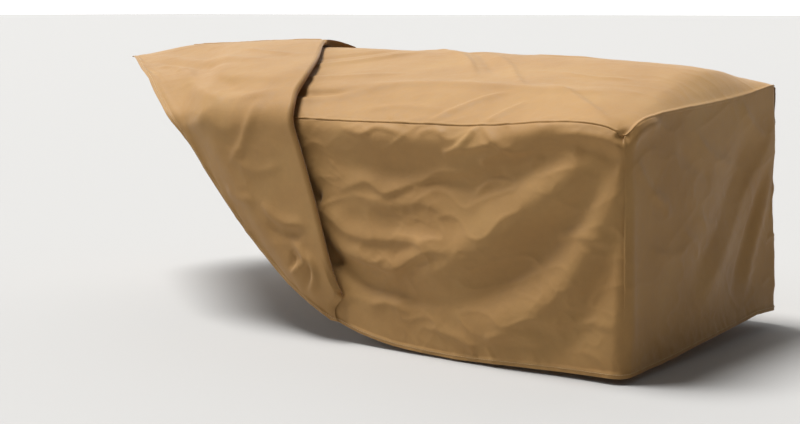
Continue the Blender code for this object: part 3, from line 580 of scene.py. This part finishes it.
def lay_cloth():
    """The three pieces: charts of (x, run, height, from hem, from seam) and points, with shared edges."""
    lines = cloth_lines()
    front = [laid_line(lambda v, line=line: skirt_line(line, v, "front"), SKIRT_ROWS) for line in lines]
    back = [laid_line(lambda v, line=line: skirt_line(line, v, "back"), BACK_ROWS) for line in lines]
    top = [laid_line(lambda v, line=line: top_line(line, v), RIGHT_END_LINES, hem=False) for line in lines]
    (front_chart, front), (back_chart, back), (top_chart, top) = [
        (np.array([c for c, _ in laid]), np.array([p for _, p in laid])) for laid in (front, back, top)]
    end_chart, end = right_end(top[0], SKIRT_ROWS)
    across = (top_chart[-1, :, 1] - BACK_FLAP_SEAM[-1][2]) / (FLAP_SEAM[-1][2] - BACK_FLAP_SEAM[-1][2])
    left = [laid_line(lambda v, share=share: left_end_line(share, v), SKIRT_ROWS) for share in 1 - across]
    left_chart, left = np.array([c for c, _ in left]), np.array([p for _, p in left])
    skirt = np.concatenate([end[:0:-1], front, left[1:]])
    skirt_chart = np.concatenate([end_chart[:0:-1], front_chart, left_chart[1:]])
    pieces = {"top": (top_chart, shape_right_end(top)), "skirt": (skirt_chart, shape_right_end(skirt)),
              "back": (back_chart, shape_right_end(back))}
    kinds = {"top": [part for part, _ in lines], "back": [part for part, _ in lines],
             "skirt": ["end"] * (len(end) - 1) + [part for part, _ in lines] + ["left"] * (len(left) - 1)}
    return pieces, kinds


def share_edges(arrays):
    """Averages what two pieces have along a seam that joins them, so that they meet there."""
    top, skirt = arrays["top"], arrays["skirt"]
    first = top.shape[1] - 1
    last = len(skirt) - first
    for (name_a, at_a), (name_b, at_b) in (
            (("top", (slice(None), 0)), ("skirt", (slice(first, last), -1))),
            (("top", (0, slice(None))), ("skirt", (slice(first, None, -1), -1))),
            (("top", (-1, slice(None))), ("skirt", (slice(last - 1, None), -1))),
            (("top", (slice(None), -1)), ("back", (slice(None), -1)))):
        both = (arrays[name_a][at_a] + arrays[name_b][at_b]) / 2
        arrays[name_a][at_a] = both
        arrays[name_b][at_b] = both


def relief(name, chart, points, kinds):
    """How far each point of a piece stands out from its plain draped shape."""
    x, run, height, from_hem, from_seam = np.moveaxis(chart, -1, 0)
    total = np.zeros(x.shape)
    kind = np.array(kinds)
    outer = column(TURN, run, "outer_x")
    fitted = (kind == "fitted")[:, None] & (x > 0)
    over = ((kind == "flap") | (kind == "left"))[:, None] & (x > -1)
    end = (kind == "end")[:, None] & (x > 0)
    if name == "back":
        folds = fold_heights(x, run, BACK_FOLDS) + 1.4 * crumple(x, run, 9)
        total += np.where(fitted, folds * ease((x - outer + 0.10) / 0.12), 0)
        total += np.where(over, folds * 0.7 * ease((outer - x) / 0.05), 0)
    else:
        flat = 1.35 * fold_heights(x, run, FRONT_FOLDS + TOP_FOLDS)
        flat += crumple(x, run) * blend(1.0, 0.35, ease((run - 0.60) / 0.08))
        total += np.where(fitted, flat * ease((x - outer + 0.10) / 0.12), 0)
        over_flap = 1.2 * fold_heights(x, run, FLAP_FOLDS)
        over_flap += crumple(x, run, 20) * blend(0.6, 0.35, ease((run - 0.60) / 0.08))
        total += np.where(over, over_flap * ease((outer - x) / 0.05), 0)
    if name == "skirt":
        y, z = points[..., 1], points[..., 2]
        wall = 0.8 * fold_heights(y, z, END_FOLDS) + 0.55 * crumple(END_X + y + 0.012, z)
        total += np.where(end, wall, 0)
    if name != "back":
        y, z = points[..., 1], points[..., 2]
        around = np.where(end | (x > END_X - 0.004), np.maximum(y + 0.012, 0), x - END_X)
        pinch = fold_heights(around, z, CORNER_FOLDS)
        total += np.where(end | fitted, pinch * ease((0.66 - run) / 0.03), 0)
    if name != "top":
        along = x + 0.6 * run + points[..., 1]
        pucker = noise(along, 0.4 * from_hem, 0.015, 0.0, 31) - 0.5
        strength = np.where(over, 0.0090, 0.0030) * np.exp(-np.maximum(from_hem - 0.014, 0) / 0.020)
        total += pucker * strength * ease(from_hem / 0.012) * ease(from_seam / 0.05)
        total += HEM_RISE * (1 - ease((from_hem - HEM_WIDTH + 0.0008) / 0.0016))
    beside = from_seam
    if name == "top":
        from_end = np.where(fitted, END_X - x, 1.0)
        beside = np.minimum(np.minimum(from_hem, from_seam), from_end)
    pucker = noise(x + points[..., 1], beside, 0.013, 0.0, 41) - 0.5
    total += 0.0016 * pucker * np.exp(-beside / 0.010) * ease(beside / 0.003)
    if name == "top":
        total += SEAM_RISE * ease(beside / 0.0025) * (1 - ease((beside - 0.004) / 0.006))
    total -= 0.0012 * (1 - ease(beside / 0.003))
    return total


def hem_rows(points, normals):
    """The hem's edge and the cloth that is folded up behind it, as five more rows."""
    inside = [points[:, k] - normals[:, k] * 0.0019 for k in (4, 3, 2, 1)]
    edge = points[:, 0] - normals[:, 0] * 0.00095
    down = points[:, 0] - points[:, 1]
    edge += down / np.linalg.norm(down, axis=-1, keepdims=True) * 0.0006
    return np.stack(inside + [edge], 1)


def cloth_object(name, points, chart, flip):
    """A sheet of cloth from a grid of points, with its chart as texture coordinates."""
    columns, rows = points.shape[:2]
    corner = (np.arange(columns - 1)[:, None] * rows + np.arange(rows - 1)[None, :]).ravel()
    quads = np.stack([corner, corner + 1, corner + rows + 1, corner + rows], -1)
    if flip:
        quads = quads[:, ::-1]
    mesh = bpy.data.meshes.new(name)
    mesh.from_pydata((points.reshape(-1, 3) - MOUNT).tolist(), [], quads.tolist())
    layer = mesh.uv_layers.new(name="cloth")
    loops = np.zeros(len(mesh.loops), np.int32)
    mesh.loops.foreach_get("vertex_index", loops)
    layer.data.foreach_set("uv", chart.reshape(-1, 2)[loops].astype(np.float32).ravel())
    mesh.polygons.foreach_set("use_smooth", np.ones(len(mesh.polygons), bool))
    obj = bpy.data.objects.new(name, mesh)
    bpy.context.scene.collection.objects.link(obj)
    return obj


def stitches(name, path, normals):
    """A row of stitches along a path on the cloth."""
    steps = np.linalg.norm(np.diff(path, axis=0), axis=1)
    along = np.concatenate([[0.0], np.cumsum(steps)])
    count = int(along[-1] / STITCH_PITCH)
    middles = (np.arange(count) + 0.5) * STITCH_PITCH
    verts, faces = [], []
    rings = ((-0.5, -0.3, 0.5), (-0.3, 0.6, 1.0), (0.0, 0.9, 1.0), (0.3, 0.6, 1.0), (0.5, -0.3, 0.5))

    def at(distance, rows):
        return np.array([np.interp(distance, along, rows[:, k]) for k in range(3)])

    for middle in middles:
        ahead = at(middle + 0.002, path) - at(middle - 0.002, path)
        ahead /= np.linalg.norm(ahead)
        up = at(middle, normals)
        side = np.cross(ahead, up)
        side /= np.linalg.norm(side)
        up = np.cross(side, ahead)
        start = len(verts)
        for where, lift, size in rings:
            centre = at(middle + where * STITCH_LENGTH, path) + up * lift * THREAD_RADIUS
            for k in range(6):
                turn = k * math.pi / 3
                verts.append(centre + size * THREAD_RADIUS * (math.cos(turn) * side + math.sin(turn) * up))
        for ring in range(len(rings) - 1):
            for k in range(6):
                a, b = start + ring * 6 + k, start + ring * 6 + (k + 1) % 6
                faces.append((a, b, b + 6, a + 6))
        faces.append(tuple(start + k for k in reversed(range(6))))
        faces.append(tuple(start + 6 * (len(rings) - 1) + k for k in range(6)))
    mesh = bpy.data.meshes.new(name)
    mesh.from_pydata((np.array(verts) - MOUNT).tolist(), [], faces)
    mesh.polygons.foreach_set("use_smooth", np.ones(len(mesh.polygons), bool))
    obj = bpy.data.objects.new(name, mesh)
    bpy.context.scene.collection.objects.link(obj)
    return obj


def make_cover():
    pieces, kinds = lay_cloth()
    normals = {name: grid_normals(points, -1 if name == "back" else 1)
               for name, (_, points) in pieces.items()}
    share_edges(normals)
    moved = {}
    for name, (chart, points) in pieces.items():
        away = relief(name, chart, points, kinds[name])
        moved[name] = points + normals[name] * away[..., None]
    share_edges(moved)
    made = {}
    for name, (chart, _) in pieces.items():
        points = moved[name]
        facing = grid_normals(points, -1 if name == "back" else 1)
        flat = chart[..., :2].copy()
        in_end = np.array(kinds[name]) == "end"
        flat[in_end, :, 0] = END_X + points[in_end, :, 1]
        if name != "top":
            stitch_path, stitch_up = points[:, 3].copy(), facing[:, 3].copy()
            made[name + "_stitches"] = stitches("hem_stitching_" + name, stitch_path, stitch_up)
            extra = hem_rows(points, facing)
            points = np.concatenate([extra, points], 1)
            flat = np.concatenate([flat[:, (4, 3, 2, 1, 0)], flat], 1)
        made[name] = cloth_object(name + "_cloth", points, flat, name == "back")
    return made


# ---- materials ----
def srgb(text):
    """A colour written as sRGB hex, as linear values."""
    channels = [int(text[k:k + 2], 16) / 255 for k in (1, 3, 5)]
    return [c / 12.92 if c <= 0.04045 else ((c + 0.055) / 1.055) ** 2.4 for c in channels] + [1.0]


def add_node(tree, kind, settings=None, **links):
    """Adds a node. settings holds its properties and unlinked inputs; links name an input and its source."""
    node = tree.nodes.new(kind)
    for key, value in (settings or {}).items():
        if key in node.inputs:
            node.inputs[key].default_value = value
        else:
            setattr(node, key, value)
    for key, source in links.items():
        tree.links.new(source, node.inputs[int(key[1:])] if key[0] == "i" and key[1:].isdigit()
                       else node.inputs[key])
    return node


def coated_polyester(name, tan="#AC8450", pale="#B18A55", deep="#A57D4A"):
    """Woven polyester with a polyurethane coating: matt and even, but bright at a glancing look.

    The colour is one dye, a little uneven where the coating has rubbed; the weave is too fine to see from
    far, so it is only a slight grain, drawn six times as coarse as its real 0.4 mm threads.
    """
    material = bpy.data.materials.new(name)
    material.use_nodes = True
    tree = material.node_tree
    shader = tree.nodes["Principled BSDF"]
    place = add_node(tree, "ShaderNodeTexCoord")
    chart, solid = place.outputs["UV"], place.outputs["Object"]
    cloudy = add_node(tree, "ShaderNodeTexNoise", {"Scale": 5.0, "Detail": 4.0, "Roughness": 0.55},
                      Vector=solid)
    rubbed = add_node(tree, "ShaderNodeTexNoise", {"Scale": 55.0, "Detail": 3.0, "Roughness": 0.6},
                      Vector=solid)
    tone = add_node(tree, "ShaderNodeValToRGB", {}, Fac=cloudy.outputs["Fac"])
    ramp = tone.color_ramp
    ramp.elements[0].position, ramp.elements[0].color = 0.30, srgb(deep)
    ramp.elements[1].position, ramp.elements[1].color = 0.72, srgb(pale)
    middle = ramp.elements.new(0.50)
    middle.color = srgb(tan)
    wear = add_node(tree, "ShaderNodeMapRange", {"From Min": 0.35, "From Max": 0.75, "To Min": 0.97,
                                                 "To Max": 1.03}, Value=rubbed.outputs["Fac"])
    worn = add_node(tree, "ShaderNodeHueSaturation", {}, Color=tone.outputs["Color"],
                    Value=wear.outputs["Result"])
    warp = add_node(tree, "ShaderNodeTexWave", {"wave_type": "BANDS", "bands_direction": "X", "Scale": 130.0,
                                                "Distortion": 0.6, "Detail": 1.0}, Vector=chart)
    weft = add_node(tree, "ShaderNodeTexWave", {"wave_type": "BANDS", "bands_direction": "Y", "Scale": 130.0,
                                                "Distortion": 0.6, "Detail": 1.0}, Vector=chart)
    threads = add_node(tree, "ShaderNodeMath", {"operation": "MULTIPLY"}, i0=warp.outputs["Fac"],
                       i1=weft.outputs["Fac"])
    grain = add_node(tree, "ShaderNodeMixRGB", {"blend_type": "MULTIPLY", "Fac": 0.10},
                     Color1=worn.outputs["Color"], Color2=threads.outputs["Value"])
    tree.links.new(grain.outputs["Color"], shader.inputs["Base Color"])
    creases = add_node(tree, "ShaderNodeTexNoise", {"Scale": 38.0, "Detail": 3.0, "Roughness": 0.5,
                                                    "Distortion": 1.2}, Vector=solid)
    fine = add_node(tree, "ShaderNodeBump", {"Strength": 0.35, "Distance": 0.0015},
                    Height=creases.outputs["Fac"])
    weave = add_node(tree, "ShaderNodeBump", {"Strength": 0.25, "Distance": 0.0002},
                     Height=threads.outputs["Value"], Normal=fine.outputs["Normal"])
    tree.links.new(weave.outputs["Normal"], shader.inputs["Normal"])
    polish = add_node(tree, "ShaderNodeMapRange", {"From Min": 0.3, "From Max": 0.7, "To Min": 0.58,
                                                   "To Max": 0.70}, Value=rubbed.outputs["Fac"])
    tree.links.new(polish.outputs["Result"], shader.inputs["Roughness"])
    shader.inputs["IOR"].default_value = 1.5
    shader.inputs["Specular IOR Level"].default_value = 0.25
    shader.inputs["Sheen Weight"].default_value = 0.16
    shader.inputs["Sheen Roughness"].default_value = 0.35
    return material


def polyester_thread(name):
    """Bonded polyester sewing thread: a smooth twisted thread, a little paler and shinier than the cloth."""
    material = bpy.data.materials.new(name)
    material.use_nodes = True
    tree = material.node_tree
    shader = tree.nodes["Principled BSDF"]
    place = add_node(tree, "ShaderNodeTexCoord")
    twist = add_node(tree, "ShaderNodeTexWave", {"Scale": 900.0, "Distortion": 2.0},
                     Vector=place.outputs["Object"])
    tone = add_node(tree, "ShaderNodeValToRGB", {}, Fac=twist.outputs["Fac"])
    tone.color_ramp.elements[0].color = srgb("#A98552")
    tone.color_ramp.elements[1].color = srgb("#DEC497")
    tree.links.new(tone.outputs["Color"], shader.inputs["Base Color"])
    shader.inputs["Roughness"].default_value = 0.5
    return material


def pale_floor():
    material = bpy.data.materials.new("pale_studio_floor")
    material.use_nodes = True
    shader = material.node_tree.nodes["Principled BSDF"]
    shader.inputs["Base Color"].default_value = srgb("#B2B1AF")
    shader.inputs["Roughness"].default_value = 0.9
    return material


# ---- studio ----
def studio():
    mesh = bpy.data.meshes.new("studio_floor")
    size, level = 200.0, -MOUNT[2]
    mesh.from_pydata([(-size, -size, level), (size, -size, level), (size, size, level), (-size, size, level)],
                     [], [(0, 1, 2, 3)])
    floor = bpy.data.objects.new("studio_floor", mesh)
    bpy.context.scene.collection.objects.link(floor)
    mesh.materials.append(pale_floor())
    world = bpy.data.worlds.new("studio")
    bpy.context.scene.world = world
    world.use_nodes = True
    tree = world.node_tree
    sky = tree.nodes["Background"]
    place = add_node(tree, "ShaderNodeTexCoord")
    toward = add_node(tree, "ShaderNodeVectorMath", {"operation": "DOT_PRODUCT"},
                      i0=place.outputs["Generated"])
    toward.inputs[1].default_value = (-0.60, 0.80, 0.05)
    spread = add_node(tree, "ShaderNodeMapRange", {"interpolation_type": "SMOOTHSTEP", "From Min": 0.35,
                                                   "From Max": 0.90, "To Min": 0.10, "To Max": 1.5},
                      Value=toward.outputs["Value"])
    tree.links.new(spread.outputs["Result"], sky.inputs["Strength"])
    sky.inputs["Color"].default_value = (1.0, 1.0, 1.0, 1.0)
    for name, place, strength, angle in (("high_key_light", (-0.34, -0.08, 0.94), 4.6, 24.0),
                                         ("low_left_light", (-0.82, -0.40, 0.40), 0.7, 24.0)):
        lamp = bpy.data.lights.new(name, "SUN")
        lamp.energy = strength
        lamp.angle = math.radians(angle)
        obj = bpy.data.objects.new(name, lamp)
        obj.location = np.array(place) * 5
        look_at(obj, (0.0, 0.0, 0.0))
        bpy.context.scene.collection.objects.link(obj)


def look_at(obj, aim):
    direction = np.array(aim, float) - np.array(obj.location)
    flat = math.hypot(direction[0], direction[1])
    obj.rotation_euler = (math.pi / 2 + math.atan2(direction[2], flat), 0.0,
                          math.atan2(-direction[0], direction[1]))


def camera():
    lens = bpy.data.cameras.new("camera")
    lens.lens, lens.sensor_width = 69.15, 36.0
    obj = bpy.data.objects.new("camera", lens)
    obj.location = np.array((3.964, -3.232, 0.902)) - MOUNT
    obj.rotation_euler = (math.radians(90 - 7.533), 0.0, math.radians(36.979))
    bpy.context.scene.collection.objects.link(obj)
    bpy.context.scene.camera = obj


def main():
    camera()
    studio()
    bpy.context.scene.view_settings.view_transform = "Standard"
    made = make_cover()
    cloth = {name: coated_polyester(name + "_coated_polyester") for name in ("top", "skirt", "back")}
    thread = polyester_thread("sewing_thread")
    for name, node, flat, on_it in (("top", "top_panel", (2.20, 0.96), []),
                                    ("skirt", "front_skirt", (3.95, 0.63), ["skirt_stitches"]),
                                    ("back", "back_skirt", (2.40, 0.72), ["back_stitches"])):
        obj = made[name]
        obj.data.materials.append(cloth[name])
        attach(obj, "root")
        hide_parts(node)
        for key in on_it:
            made[key].data.materials.append(thread)
            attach(made[key], "root")


main()
